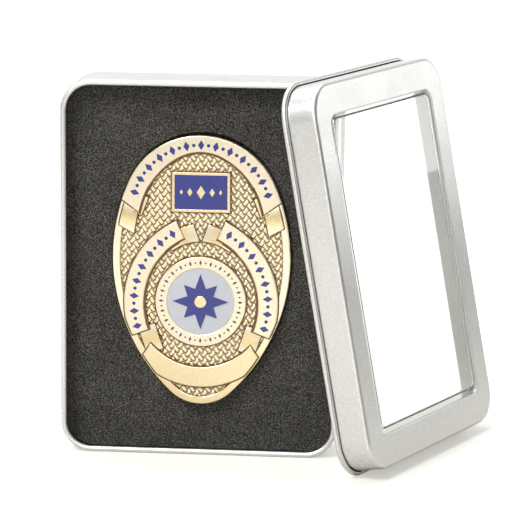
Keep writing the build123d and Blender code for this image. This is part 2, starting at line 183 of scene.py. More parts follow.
def recess_group():
    """Darker tone where the depth attribute of a mesh marks it: painted shade, and on the badge patina as well."""
    group = new_group("recess_tone", [("Plain", "Color", (0.9, 0.72, 0.42, 1)),
                                      ("Recessed", "Color", (0.2, 0.1, 0.03, 1)), ("Amount", "Float", 0.8)],
                      [("Color", "Color")])
    s = Sheet(group)
    inside = s.add("NodeGroupInput")
    outside = s.add("NodeGroupOutput")
    depth = s.add("Attribute", attribute_name="recess")
    mask = s.math("MULTIPLY", depth.outputs["Fac"], inside.outputs["Amount"], clamp=True)
    group.links.new(s.mix(mask, inside.outputs["Plain"], inside.outputs["Recessed"]), outside.inputs["Color"])
    return group


def wear_group():
    """Uneven wear as a mask, and fine play of the surface as a height for bump."""
    group = new_group("surface_wear", [("Vector", "Vector", None), ("Wear Scale", "Float", 350.0),
                                       ("Wear Detail", "Float", 4.0), ("Wear Roughness", "Float", 0.6),
                                       ("Fine Scale", "Float", 2400.0), ("Fine Detail", "Float", 2.0)],
                      [("Wear", "Float"), ("Height", "Float")])
    s = Sheet(group)
    inside = s.add("NodeGroupInput").outputs
    outside = s.add("NodeGroupOutput")
    wear = s.noise(inside["Vector"], inside["Wear Scale"], inside["Wear Detail"], inside["Wear Roughness"])
    group.links.new(wear, outside.inputs["Wear"])
    group.links.new(s.noise(inside["Vector"], inside["Fine Scale"], inside["Fine Detail"]), outside.inputs["Height"])
    return group


GRAIN = grain_group()
RECESS = recess_group()
WEAR = wear_group()


def in_recess(s, plain, recessed, amount=1.0):
    """Colour between a plain tone, a socket or a colour, and the darker one that the depth attribute marks: painted
    shade, and on the badge patina as well.
    """
    plain = (*plain, 1) if isinstance(plain, tuple) else plain
    node = s.add("Group", {"Plain": plain, "Recessed": (*recessed, 1), "Amount": amount}, node_tree=RECESS)
    return node.outputs["Color"]


def worn(s, wear, fine):
    """Wear mask and fine height; wear is (scale, detail, roughness) and fine is (scale, detail)."""
    place = s.add("TexCoord").outputs["Object"]
    node = s.add("Group", {"Vector": place, "Wear Scale": wear[0], "Wear Detail": wear[1], "Wear Roughness": wear[2],
                           "Fine Scale": fine[0], "Fine Detail": fine[1]}, node_tree=WEAR)
    return node.outputs["Wear"], node.outputs["Height"]


def material(name, colour, metallic=0.0, roughness=0.5, **sockets):
    """Principled material; sockets are given by name with underscores for spaces."""
    made = bpy.data.materials.new(name)
    made.use_nodes = True
    shader = made.node_tree.nodes["Principled BSDF"]
    shader.inputs["Base Color"].default_value = (*colour, 1)
    shader.inputs["Metallic"].default_value = metallic
    shader.inputs["Roughness"].default_value = roughness
    for socket, value in sockets.items():
        shader.inputs[socket.replace("_", " ")].default_value = value
    return made, Sheet(made.node_tree), shader


def tinplate(name, colour, roughness, bump, sparkle):
    """Satin tin: fine sparkling grain, with painted shade in the slots of its rolled edges."""
    made, s, shader = material(name, colour, 1.0, roughness)
    place = s.add("TexCoord").outputs["Object"]
    grain = s.add("Group", {"Vector": place}, node_tree=GRAIN).outputs
    s.feed(s.ramp(grain["Mask"], 0.35, 0.65, roughness - 0.06, roughness + 0.06), shader, "Roughness")
    dark = tuple((1 - sparkle) * c for c in colour)
    light = tuple(min(1.0, (1 + sparkle) * c) for c in colour)
    tone = s.mix(s.ramp(grain["Height"], 0.36, 0.64), dark, light)
    # painted shade: near black where the depth attribute marks a slot
    s.feed(in_recess(s, tone, (0.03, 0.03, 0.028)), shader, "Base Color")
    s.bump(shader, grain["Height"], bump, 0.00008)
    return made


def gilt(name, colour, roughness, shade_and_patina=0.0, dull=(0.1, 0.042, 0.011)):
    """Gold plate, its tone changed by wear or, where its mesh is marked, darkened: painted shade, and on the weave
    patina as well.
    """
    made, s, shader = material(name, colour, 1.0, roughness)
    wear, swirl = worn(s, (350.0, 4.0, 0.6), (2400.0, 2.0))
    s.feed(s.ramp(wear, 0.3, 0.7, roughness - 0.04, roughness + 0.06), shader, "Roughness")
    if shade_and_patina:
        tone = in_recess(s, colour, dull, shade_and_patina)
    else:
        tone = s.mix(s.ramp(wear, 0.3, 0.7), tuple(0.93 * c for c in colour), colour)
    s.feed(tone, shader, "Base Color")
    s.bump(shader, swirl, 0.05, 0.00002)
    return made


def enamel(name, colour, speck):
    """Glossy enamel, slightly clouded."""
    made, s, shader = material(name, colour, 0.0, 0.22, Coat_Weight=0.5, Coat_Roughness=0.06)
    cloud, height = worn(s, (500.0, 3.0, 0.6), (900.0, 1.0))
    dark = tuple((1 - speck) * c for c in colour)
    s.feed(s.mix(s.ramp(cloud, 0.35, 0.65), dark, colour), shader, "Base Color")
    s.bump(shader, height, 0.06, 0.00004)
    return made


def foam_material(name, dark, light):
    """Open-celled foam: bright cell walls over dark pores."""
    made, s, shader = material(name, dark, 0.0, 0.95, Specular_IOR_Level=0.15)
    place = s.add("TexCoord").outputs["Object"]
    cells = s.add("TexVoronoi", {"Vector": place, "Scale": 2600.0}, feature="DISTANCE_TO_EDGE")
    walls = s.ramp(cells.outputs["Distance"], 0.0, 0.35, 1.0, 0.0)
    speck = s.noise(place, 2300.0, 3.0, 0.75)
    bright = s.math("MULTIPLY", walls, s.ramp(speck, 0.42, 0.66), clamp=True)
    clouds = s.ramp(s.noise(place, 120.0, 3.0), 0.3, 0.7, 0.85, 1.1)
    toned = s.add("VectorMath", {0: s.mix(bright, dark, light), 3: clouds}, operation="SCALE")
    s.feed(toned.outputs[0], shader, "Base Color")
    height = s.math("ADD", s.math("MULTIPLY", bright, 0.6), s.math("MULTIPLY", speck, 0.4))
    s.bump(shader, height, 0.9, 0.00022)
    return made


def clear_sheet():
    """Clear plastic with a faint haze, greyer where it is bent: painted shade."""
    clear = (0.985, 0.99, 0.99)
    made, s, shader = material("clear_sheet", clear, 0.0, 0.02, Transmission_Weight=1.0, IOR=1.46)
    s.feed(in_recess(s, clear, (0.66, 0.67, 0.66)), shader, "Base Color")
    haze, height = worn(s, (90.0, 3.0, 0.5), (45.0, 2.0))
    s.feed(s.ramp(haze, 0.4, 0.75, 0.015, 0.05), shader, "Roughness")
    s.bump(shader, height, 0.05, 0.0004)
    return made


TINPLATE = tinplate("satin_tinplate", (0.78, 0.775, 0.755), 0.34, 0.55, 0.16)
GILT = gilt("polished_gilt", (0.92, 0.76, 0.485), 0.25)
# The darker tones of the rim, ribbons and tails are painted shade; the weave's is patina and painted shade.
GILT_RIM = gilt("pale_gilt", (0.953, 0.838, 0.625), 0.17, shade_and_patina=1.0, dull=(0.86, 0.69, 0.415))
GILT_RIBBON = gilt("satin_gilt", (0.915, 0.805, 0.612), 0.28, shade_and_patina=1.0, dull=(0.6, 0.41, 0.175))
GILT_TAIL = gilt("bowed_gilt", (0.98, 0.88, 0.66), 0.25, shade_and_patina=1.0, dull=(0.8, 0.625, 0.34))
GILT_WEAVE = gilt("woven_gilt", (0.95, 0.815, 0.56), 0.28, shade_and_patina=0.92)
BLUE = enamel("blue_enamel", (0.022, 0.032, 0.235), 0.12)
WHITE = enamel("white_enamel", (0.55, 0.56, 0.61), 0.04)
SLATE = enamel("slate_enamel", (0.06, 0.07, 0.13), 0.1)
FOAM = foam_material("charcoal_foam", (0.011, 0.0105, 0.0095), (0.27, 0.26, 0.235))
STEEL = tinplate("pin_steel", (0.7, 0.7, 0.7), 0.25, 0.1, 0.04)
CLEAR = clear_sheet()


# Mesh helpers

def finish_piece(name, bm, place, body, finish, smooth, replaces=()):
    """Stand a drawing up in its place, give it its finish and its body."""
    bm.transform(place)
    mesh = bpy.data.meshes.new(name)
    bm.to_mesh(mesh)
    bm.free()
    piece = bpy.data.objects.new(name, mesh)
    scene.collection.objects.link(piece)
    mesh.materials.append(finish)
    for face in mesh.polygons:
        face.use_smooth = True
    mesh.set_sharp_from_angle(angle=radians(smooth))
    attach(piece, body)
    if replaces:
        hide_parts(*replaces)
    return piece


def supported(profile, hold=0.25):
    """Profile with a point near each end of its long runs, so that they shade flat."""
    points = [profile[0]]
    for first, second in zip(profile, profile[1:]):
        a, b = Vector(first), Vector(second)
        run = (b - a).length
        if run > 4 * hold:
            points.append(tuple(a + (b - a) * hold / run))
            points.append(tuple(b + (a - b) * hold / run))
        points.append(second)
    return points


def swept(profile, size, steps=14):
    """Profile of (inset, height) points swept round a rounded rectangle."""
    width, height, corner = size
    bm = bmesh.new()
    start = [bm.verts.new((width / 2 - inset, corner - height / 2, up)) for inset, up in supported(profile)]
    edges = [bm.edges.new(pair) for pair in zip(start, start[1:])]
    x, y = width / 2 - corner, height / 2 - corner
    turns = ((Vector((0, 2 * y, 0)), (x, y)), (Vector((-2 * x, 0, 0)), (-x, y)),
             (Vector((0, -2 * y, 0)), (-x, -y)), (Vector((2 * x, 0, 0)), (x, -y)))
    for run, centre in turns:
        hold = run.normalized() * 0.5
        for move in (hold, run - 2 * hold, hold):
            made = bmesh.ops.extrude_edge_only(bm, edges=edges)["geom"]
            verts = made_verts(made)
            bmesh.ops.translate(bm, verts=verts, vec=move)
            fresh = set(verts)
            edges = [item for item in made if isinstance(item, bmesh.types.BMEdge)
                     and all(v in fresh for v in item.verts)]
        turned = bmesh.ops.spin(bm, geom=verts + edges, cent=(*centre, 0), axis=(0, 0, 1), angle=pi / 2,
                                steps=steps, use_duplicate=False)
        edges = [item for item in turned["geom_last"] if isinstance(item, bmesh.types.BMEdge)]
    bmesh.ops.remove_doubles(bm, verts=bm.verts, dist=1e-3)
    return bm


def made_verts(made):
    """The vertices among what an operator made."""
    return [item for item in made if isinstance(item, bmesh.types.BMVert)]


def fill_level(bm, level):
    """Flat sheet over the open loops at one height, holes left open."""
    edges = [edge for edge in bm.edges if edge.is_boundary
             and abs(sum(v.co.z for v in edge.verts) / 2 - level) < 1e-3]
    bmesh.ops.triangle_fill(bm, use_beauty=True, edges=edges, normal=(0, 0, 1))


def take_in(whole, part):
    """Add a copy of one drawing to another."""
    mesh = bpy.data.meshes.new("part")
    part.to_mesh(mesh)
    whole.from_mesh(mesh)
    bpy.data.meshes.remove(mesh)


def joined(*parts):
    """One drawing that holds several."""
    whole = bmesh.new()
    for part in parts:
        take_in(whole, part)
        part.free()
    return whole


def mark_recess(bm, depth):
    """Write, from each point's place, how far its tone darkens: painted shade, and on the badge patina as well."""
    layer = bm.verts.layers.float.new("recess")
    for v in bm.verts:
        v[layer] = depth(v.co)


def arc(centre, reach, start, end, steps):
    """Profile points on an arc, angles in degrees, 0 towards the inside."""
    points = []
    for step in range(steps + 1):
        angle = radians(start + (end - start) * step / steps)
        points.append((centre[0] + reach * cos(angle), centre[1] + reach * sin(angle)))
    return points


def inset_from(size, x, y):
    """How far inside a rounded rectangle a point lies, and whether it is nearer its head or foot than a side."""
    width, height, corner = size
    across = Vector((abs(x) - width / 2 + corner, abs(y) - height / 2 + corner))
    inset = corner - (across.length if min(across) > 0 else max(across))
    return inset, across.y > across.x


def bead_painted_shade(at):
    """Painted shade in the lid's bead and on the strip of wall above its slot, and a little on the wall's inner
    side.
    """
    inset, at_end = inset_from(LID, at.x, at.y)
    up = at.z - BEAD_UP
    in_bead = hypot(inset + BEAD_OUT, up) < BEAD_OUT + 0.02
    on_strip = abs(inset) < 0.02 and up < (0.8 if at_end else 0.42)
    if in_bead or on_strip:
        return 1.0
    return 0.25 if abs(inset - SHEET) < 0.02 and at.z < -SHEET else 0.0


# Tray

def make_tray():
    """Drawn tinplate tray with a raised floor panel and its rim rolled inwards."""
    low = -TRAY_DEPTH
    top = -RIM_R
    outer = arc((TRAY_FOLD, low + TRAY_FOLD), TRAY_FOLD, 270, 180, 8)
    curl = arc((RIM_R, top), RIM_R, 180, SLOT - 180, 30)
    inside = arc((RIM_R, top), RIM_R - SHEET, SLOT - 180, 180, 22)
    inner = arc((TRAY_FOLD, low + TRAY_FOLD), TRAY_FOLD - SHEET, 180, 270, 8)
    shell = swept(outer + curl + inside + inner, TRAY)
    panel = (TRAY[0] - 2 * PANEL_INSET, TRAY[1] - 2 * PANEL_INSET, TRAY[2] - PANEL_INSET / 2)
    step = [(-0.3, 0), (0, 0), (0.12, 0.03), (0.38, PANEL_RISE - 0.03), (0.5, PANEL_RISE), (0.8, PANEL_RISE)]
    below = [(inset, low + up) for inset, up in step]
    above = [(inset, low + SHEET + up) for inset, up in step]
    bm = joined(shell, swept(below, panel), swept(above, panel))
    for level in (low, low + SHEET, low + PANEL_RISE, low + SHEET + PANEL_RISE):
        fill_level(bm, level)
    bmesh.ops.recalc_face_normals(bm, faces=bm.faces)
    finish_piece("tray_tin", bm, CASE_PLACE, "tray", TINPLATE, 30, ["tray_shell"])


# Lid

def make_lid():
    """Window frame: hemmed opening, rounded fold, short wall, edge rolled outwards."""
    centre = (-BEAD_OUT, BEAD_UP)
    fold = [(LID_FOLD + 0.3, 0)] + arc((LID_FOLD, -LID_FOLD), LID_FOLD, 90, 180, 8)
    strip = [(0, BEAD_UP + up) for up in (0.92, 0.78, 0.55, 0.4, 0)]
    hollow = arc(centre, BEAD_OUT, 0, SLOT - 360, 22)
    bead = arc(centre, BEAD_R - 0.008, SLOT - 360, 0, 30)
    wall = arc((LID_FOLD, -LID_FOLD), LID_FOLD - SHEET, 180, 90, 8)
    shell = swept(fold + strip + hollow + bead + wall, LID)
    lip = 0.42
    soft = 0.06
    hem = [(-lip - 0.3, 0), (-lip, 0)] + arc((-lip, -lip), lip, 90, 0, 7)[1:]
    hem += [(0, soft - HEM), (-soft, -HEM), (soft - SHEET, -HEM), (-SHEET, soft - HEM), (-SHEET, -SHEET - 0.2),
            (-SHEET - 0.08, -SHEET - soft), (-SHEET - 0.3, -SHEET)]
    bm = joined(shell, swept(hem, WINDOW))
    for level in (0, -SHEET):
        fill_level(bm, level)
    bmesh.ops.recalc_face_normals(bm, faces=bm.faces)
    # painted shade in the bead's slot and on the inner side of the wall
    mark_recess(bm, bead_painted_shade)
    finish_piece("lid_tin", bm, LID_PLACE, "lid", TINPLATE, 30, ["lid_shell"])


def make_pane():
    """Clear formed insert: flange behind the hem and a raised middle with soft edges."""
    top = -HEM
    margin = SHEET + 1.0
    outline = (LID[0] - 2 * margin, LID[1] - 2 * margin, LID[2] - margin)
    plateau = (WINDOW[0] - 2 * PANE_IN, WINDOW[1] - 2 * PANE_IN, WINDOW[2] - 1.0)
    high = -0.25
    bend = 0.35
    thick = bend + PANE
    rise = [(-1.2, top)] + arc((-bend, top + bend), bend, 270, 360, 6) \
        + arc((bend, high - bend), bend, 180, 90, 6) + [(bend + 0.5, high)]
    under = [(-1.2, top - PANE)] + arc((-bend, top + bend), thick, 270, 360, 6) \
        + arc((PANE + 0.1, high - thick + bend - 0.1), 0.1, 180, 90, 3) + [(PANE + 0.6, high - PANE)]
    edge = [(0.4, top), (0.08, top), (0, top - 0.08), (0, top - PANE + 0.08), (0.08, top - PANE),
            (0.4, top - PANE)]
    step = joined(swept(rise, plateau), swept(under, plateau))
    bmesh.ops.translate(step, verts=step.verts, vec=(0, PANE_UP, 0))
    bm = joined(swept(edge, outline), step)
    # painted shade: the band round the raised middle's bend is greyed
    mark_recess(bm, lambda at: float(-2.2 < inset_from(plateau, at.x, at.y - PANE_UP)[0] < 0.7))
    for level in (top, top - PANE, high, high - PANE):
        fill_level(bm, level)
    bmesh.ops.recalc_face_normals(bm, faces=bm.faces)
    finish_piece("clear_insert", bm, LID_PLACE, "lid", CLEAR, 40, ["window_pane"])


# Badge outline, as the source draws it

HALF_WIDTH, TOP, BOTTOM, SHOULDER, CROWN_R = 27.3, 41.0, 42.3, 3.0, 24.3
LIFT = TOP - CROWN_R - SHOULDER
SIDE_R = (HALF_WIDTH ** 2 + LIFT ** 2 - CROWN_R ** 2) / (2 * (HALF_WIDTH - CROWN_R))
DROP = SHOULDER + BOTTOM
FOOT_R = (SIDE_R ** 2 - (SIDE_R - HALF_WIDTH) ** 2 - DROP ** 2) / (2 * (SIDE_R - DROP))


def egg_depth(x, y):
    """How far inside the badge's outline a point lies; negative outside."""
    side_x = SIDE_R - HALF_WIDTH
    crown_y = TOP - CROWN_R
    foot_y = FOOT_R - BOTTOM
    x = abs(x)
    upper = (crown_y - SHOULDER) / side_x
    lower = (foot_y - SHOULDER) / side_x
    if y > SHOULDER + upper * (x + side_x):
        return CROWN_R - hypot(x, y - crown_y)
    if y < SHOULDER + lower * (x + side_x):
        return FOOT_R - hypot(x, y - foot_y)
    return SIDE_R - hypot(x + side_x, y - SHOULDER)


def egg_circles(inset, shift=0.0):
    """Circles that the badge's outline follows, at an inset from its edge."""
    side_x = SIDE_R - HALF_WIDTH
    return [(shift, TOP - CROWN_R, CROWN_R - inset), (shift, FOOT_R - BOTTOM, FOOT_R - inset),
            (shift - side_x, SHOULDER, SIDE_R - inset), (shift + side_x, SHOULDER, SIDE_R - inset)]


def bend_drop(x):
    """How far the badge's curved face falls away at a distance from its middle line."""
    return BEND_R - sqrt(BEND_R * BEND_R - x * x)


# Working on copies of the solids

def flat_copy(node, place, bent=False):
    """A solid laid flat again, its bend taken out and its facets merged."""
    bm = bmesh.new()
    bm.from_mesh(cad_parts[node].data)
    bm.transform(place.inverted())
    if bent:
        for v in bm.verts:
            v.co.z += bend_drop(v.co.x)
    bmesh.ops.remove_doubles(bm, verts=bm.verts, dist=0.004)
    bmesh.ops.dissolve_degenerate(bm, edges=bm.edges, dist=0.004)
    bm.normal_update()
    bmesh.ops.dissolve_limit(bm, angle_limit=radians(1.5), verts=bm.verts, edges=bm.edges)
    bm.normal_update()
    return bm


def round_again(bm, circles, cuts=4):
    """Divide the flats that stand for an arc and push the new points out to it."""
    for x, y, reach in circles:
        flats = []
        for edge in bm.edges:
            a, b = edge.verts
            run = hypot(a.co.x - b.co.x, a.co.y - b.co.y)
            if 0.05 * reach < run < 0.27 * reach and all(abs(hypot(v.co.x - x, v.co.y - y) - reach) < 0.012
                                                for v in edge.verts):
                flats.append(edge)
        made = bmesh.ops.subdivide_edges(bm, edges=flats, cuts=cuts, use_grid_fill=True)
        for v in made["geom_inner"]:
            if isinstance(v, bmesh.types.BMVert):
                scale = reach / hypot(v.co.x - x, v.co.y - y)
                v.co.x = x + (v.co.x - x) * scale
                v.co.y = y + (v.co.y - y) * scale


def soften(bm, width, segments=3, above=0.0, angle=50, chosen=None):
    """Round the edges that stand above a height; a test on their ends can leave some out."""
    sharp = [edge for edge in bm.edges if len(edge.link_faces) == 2 and edge.calc_face_angle(0) > radians(angle)
             and min(v.co.z for v in edge.verts) > above and (chosen is None or chosen(*edge.verts))]
    bmesh.ops.bevel(bm, geom=sharp, offset=width, offset_type="OFFSET", affect="EDGES", segments=segments,
                    profile=0.5, material=-1, clamp_overlap=False)


def hold_tops(bm, width=0.08):
    """Narrow frame inside each broad flat face, so that rounded edges don't shade into it."""
    bm.normal_update()
    tops = [face for face in bm.faces if face.normal.z > 0.999 and face.calc_area() > 0.5]
    bmesh.ops.inset_region(bm, faces=tops, thickness=width, use_boundary=True, use_even_offset=False)


# Foam

def make_foam():
    """Die-cut foam with an oval recess for the badge, and the pad behind it."""
    x, y = TRAY[0] / 2 - TRAY[2], TRAY[1] / 2 - TRAY[2]
    rounds = [(sx * x, sy * y, TRAY[2] - SHEET - FOAM_PLAY) for sx in (-1, 1) for sy in (-1, 1)]
    for name, node, low in (("foam_insert", "foam_bed", FOAM_TOP - 0.5), ("foam_pad", "foam_backing", -30)):
        bm = flat_copy(node, CASE_PLACE)
        round_again(bm, egg_circles(-FOAM_PLAY, BADGE_X) + rounds)
        soften(bm, 0.35, 3, low)
        piece = finish_piece(name, bm, CASE_PLACE, "tray", FOAM, 50, [node])


# Badge

# Centres of the banners' arcs and of the seal
CROWN = (0, 16.8)
LEFT_SIDE = (4.8, -11.0)
RIGHT_SIDE = (-4.8, -11.0)
SEAL = (0, -10.2)
# Heights over the plate
WEAVE_GROUND = 0.2
WEAVE_CREST = 0.56
BANNER_TOP = 1.28
SEAL_TOP = 1.43
PANEL_TOP = 1.2
INLAY = 0.2
LINE_WIDTH = 0.34
# The weave: its repeat, and a strand's length and width
PERIOD = 2.48
LONG = PERIOD / sqrt(2) * 1.15
WIDE = PERIOD / sqrt(2) * 0.7
# Circles (x, y, radius) that the outlines of the stampings follow
BADGE_CIRCLES = egg_circles(0) + egg_circles(0.7) + egg_circles(1.2) + egg_circles(2.3) + [
    (5.0, 13.0, 24.0), (-5.0, 13.0, 24.0), (0, 13 + sqrt(75), 14.0),
    (*LEFT_SIDE, 22.1), (*LEFT_SIDE, 28.5), (*RIGHT_SIDE, 22.1), (*RIGHT_SIDE, 28.5),
    (0, -10.7, 20.0), (0, -10.7, 26.2), (0, -6, 14.4), (*SEAL, 13.9), (*SEAL, 10.3), (*SEAL, 1.9)]
# All stampings together, flat: the weave's darker tone, patina and painted shade, deepens near them
STAMPED = bmesh.new()


def cut_across(bm, point, normal):
    """Divide the faces that a plane crosses."""
    geom = list(bm.verts) + list(bm.edges) + list(bm.faces)
    bmesh.ops.bisect_plane(bm, geom=geom, plane_co=point, plane_no=normal, dist=1e-4)


def bend_back(bm):
    """Bend a flat drawing round the badge's curve."""
    for v in bm.verts:
        v.co.z -= bend_drop(v.co.x)


def curve_back(bm, spacing=1.5):
    """Cut a flat stamping into narrow strips, so that it can bend, and bend it."""
    x = -30.0
    while x < 30.0:
        cut_across(bm, (x, 0, 0), (1, 0, 0))
        x += spacing
    bend_back(bm)


def foot_line(name, bm, curl=None, raised=None):
    """Dark ledge that shows as a line round the foot of a stamping: patina, and painted shade where it meets the
    ground.

    It follows the bow of a tail, and stands higher where the stamping lies over others, as a painted shadow on them.
    """
    foot = bm.copy()
    top = max(v.co.z for v in foot.verts)
    spare = [face for face in foot.faces if face.normal.z < 0.9 or face.calc_center_median().z < top - 0.1]
    bmesh.ops.delete(foot, geom=spare, context="FACES")
    bmesh.ops.inset_region(foot, faces=foot.faces[:], thickness=-LINE_WIDTH, depth=0, use_boundary=True)
    fringe = [face for face in foot.faces if any(v.is_boundary for v in face.verts)]
    bmesh.ops.delete(foot, geom=fringe, context="FACES")
    ledge = min(top - 0.12, 0.93)
    for v in foot.verts:
        short = min(0.0, egg_depth(v.co.x, v.co.y) - 0.05)
        scale = 1 + short / max(1.0, hypot(v.co.x, v.co.y))
        v.co = (v.co.x * scale, v.co.y * scale, ledge)
        if raised and raised(v.co.x, v.co.y):
            v.co.z = top - 0.07
    low = bmesh.ops.extrude_face_region(foot, geom=foot.faces[:])["geom"]
    for v in made_verts(low):
        v.co.z = WEAVE_GROUND + 0.05
    bmesh.ops.recalc_face_normals(foot, faces=foot.faces)
    if curl:
        curl_end(foot, curl)
    curve_back(foot)
    # patina and painted shade: the ledge is dark all over
    mark_recess(foot, lambda at: 1.0)
    finish_piece(name, foot, BADGE_PLACE, "badge", GILT_WEAVE, 40)


def stamped(name, node, finish, round_edge, above=None, curl=None, outline=True, raised=None, slope=None,
            dull=None):
    """A stamping with soft edges and, on the ground round it, the dark line of its foot: patina and painted shade.

    A tail bows along its curl (start, heading, length, height). Within the circle of slope (x, y, reach) a
    banner's edge is rounded wide. Raised tells where the foot's line stands higher, as a painted shadow, and dull
    how far the gilt is toned down by painted shade.
    """
    bm = flat_copy(node, BADGE_PLACE, bent=True)
    round_again(bm, BADGE_CIRCLES, 3)
    if outline:
        foot_line(name + "_line", bm, curl, raised)
        take_in(STAMPED, bm)
    top = max(v.co.z for v in bm.verts)
    if above is None:
        above = top - 0.12
    chosen = None
    if slope:
        x, y, reach = slope

        def inner(at):
            return hypot(at.x - x, at.y - y) < reach

        # painted shade on a banner's wide-rounded inner edge, deeper towards its foot
        def dull(at):
            return min(1.0, (top - at.z) / 0.4) if inner(at) else 0.0

        soften(bm, 0.85, 5, above, chosen=lambda a, b: inner(a.co) and inner(b.co))
    if curl:
        # painted shade along a tail's bow, deepest midway
        def dull(at):
            return sin(pi * share_along(curl, at)) ** 2

        def chosen(a, b):
            return max(share_along(curl, v.co) for v in (a, b)) > 0.3
    soften(bm, round_edge, 3, above, chosen=chosen)
    hold_tops(bm)
    if curl:
        curl_end(bm, curl)
    if dull:
        mark_recess(bm, dull)
    curve_back(bm)
    finish_piece(name, bm, BADGE_PLACE, "badge", finish, 32, [node])


def heading_of(angle):
    """Direction at an angle in degrees, 0 towards the badge's foot."""
    return Vector((sin(radians(angle)), -cos(radians(angle)), 0))


def share_along(curl, at):
    """How far along a tail's bow a point lies, from 0 to 1."""
    start, heading, length, _ = curl
    return max(0.0, min(1.0, (at - Vector((*start, 0))).dot(heading_of(heading)) / length))


def curl_end(bm, curl):
    """Bow a banner's end along its length, cut across first so that it can bend."""
    start, heading, length, height = curl
    origin = Vector((*start, 0))
    along = heading_of(heading)
    cuts = 12
    for step in range(1, cuts):
        cut_across(bm, origin + along * length * step / cuts, along)
    for v in bm.verts:
        if v.co.z > 0.5:
            v.co.z += height * (sin(pi * share_along(curl, v.co)) - 0.15)


def strand_mesh():
    """One strand of the weave, a pillow on a flat foot."""
    strand = bmesh.new()
    bmesh.ops.create_grid(strand, x_segments=6, y_segments=5, size=1.0)
    low = WEAVE_GROUND - 0.05
    for v in strand.verts:
        for axis, power in ((0, 0.6), (1, 0.5)):
            v.co[axis] = abs(v.co[axis]) ** power * (1 if v.co[axis] > 0 else -1)
        bulge = sqrt(1 - 0.97 * abs(v.co.y) ** 6) * sqrt(1 - 0.8 * abs(v.co.x) ** 6)
        v.co = (v.co.x * LONG / 2, v.co.y * WIDE / 2, low + (WEAVE_CREST - low) * bulge)
    bmesh.ops.holes_fill(strand, edges=strand.edges[:])
    bmesh.ops.recalc_face_normals(strand, faces=strand.faces)
    mesh = bpy.data.meshes.new("strand")
    strand.to_mesh(mesh)
    strand.free()
    return mesh


def lay_strands():
    """Flat drawings of all strands, crossing row by row, and of dark slabs under them, shifted down, whose rims show
    as a painted shadow along each strand's lower side.
    """
    mesh = strand_mesh()
    strands = bmesh.new()
    lines = bmesh.new()
    shadow = Matrix.Translation((0.04, -0.24, WEAVE_GROUND + 0.1))
    for row in range(-36, 37):
        for column in range(-12, 13):
            y = row * PERIOD / 2 - 0.6
            x = column * PERIOD + (PERIOD / 2 if row % 2 else 0.0)
            if egg_depth(x, y) < 1.6:
                continue
            before = len(strands.verts)
            strands.from_mesh(mesh)
            strands.verts.ensure_lookup_table()
            turn = Matrix.Translation((x, y, 0)) @ Matrix.Rotation(radians(45 if row % 2 else -45), 4, "Z")
            bmesh.ops.transform(strands, matrix=turn, verts=strands.verts[before:])
            foot = shadow @ turn @ Matrix.Diagonal((LONG, WIDE, 1, 1))
            bmesh.ops.create_grid(lines, x_segments=1, y_segments=1, size=0.5, matrix=foot)
    bpy.data.meshes.remove(mesh)
    low = bmesh.ops.extrude_face_region(lines, geom=lines.faces[:])["geom"]
    bmesh.ops.translate(lines, verts=made_verts(low), vec=(0, 0, -0.15))
    bmesh.ops.recalc_face_normals(lines, faces=lines.faces)
    return strands, lines


def make_weave():
    """Basket weave: pillow-shaped strands crossing over and under on a sunk ground."""
    strands, lines = lay_strands()
    stampings = BVHTree.FromBMesh(STAMPED)

    def shade_and_patina(at):
        """Darker tone, patina and painted shade: deep at a strand's foot, and in the corners by the stampings and
        the rim.
        """
        near = stampings.find_nearest(Vector((at.x, at.y, WEAVE_CREST)), 1.2)[0]
        gap = min(egg_depth(at.x, at.y) - 2.3, 1.2 if near is None else hypot(near.x - at.x, near.y - at.y))
        corner = 0.75 * max(0.0, 1.0 - gap) ** 1.5
        return max(0.0, 0.85 - (at.z - WEAVE_GROUND) / (WEAVE_CREST - WEAVE_GROUND)) + corner

    mark_recess(strands, shade_and_patina)
    bend_back(strands)
    mark_recess(lines, lambda at: 1.0)
    bend_back(lines)
    base = flat_copy("woven_field", BADGE_PLACE, bent=True)
    round_again(base, BADGE_CIRCLES)
    for v in base.verts:
        v.co.z = min(v.co.z, WEAVE_GROUND)
    curve_back(base, 2.0)
    # the sunk ground is toned darker throughout: patina and painted shade
    mark_recess(base, lambda at: 0.42)
    # dark slabs: a painted shadow under each strand's lower side
    finish_piece("weave_shadow_lines", lines, BADGE_PLACE, "badge", GILT_WEAVE, 30)
    finish_piece("weave_ground", base, BADGE_PLACE, "badge", GILT_WEAVE, 30, ["woven_field"])
    finish_piece("weave_strands", strands, BADGE_PLACE, "badge", GILT_WEAVE, 60)


def inlay(bm, centre, top, long, wide, angle=0.0, sides=4):
    """Small flat-topped inlay: a lozenge with its long way at an angle in degrees, or a dot of more sides."""
    place = (Matrix.Translation((*centre, top)) @ Matrix.Rotation(radians(angle), 4, "Z")
             @ Matrix.Diagonal((long, wide, 1, 1)))
    verts = bmesh.ops.create_circle(bm, cap_ends=True, segments=sides, radius=0.5, matrix=place)["verts"]
    made = bmesh.ops.extrude_face_region(bm, geom=[verts[0].link_faces[0]])["geom"]
    bmesh.ops.translate(bm, verts=made_verts(made), vec=(0, 0, -INLAY))


def inlay_row(bm, centre, reach, start, end, count, top, long=3.1, wide=1.9, dot=0.55):
    """Lozenges and dots by turns along an arc."""
    for index in range(count):
        angle = start + (end - start) * index / (count - 1)
        at = (centre[0] + reach * cos(radians(angle)), centre[1] + reach * sin(radians(angle)))
        if index % 2 == 0:
            inlay(bm, at, top, long, wide, angle)
        else:
            inlay(bm, at, top, 2 * dot, 2 * dot, sides=12)


def lay_in(name, bm, finish):
    """Bend the inlays of one drawing to the badge's curve and finish them."""
    bmesh.ops.recalc_face_normals(bm, faces=bm.faces)
    curve_back(bm, 3.0)
    finish_piece(name, bm, BADGE_PLACE, "badge", finish, 30)


def low_crown(x, y):
    """Where the crown banner and its folds lie over the tails."""
    return y < 24.0


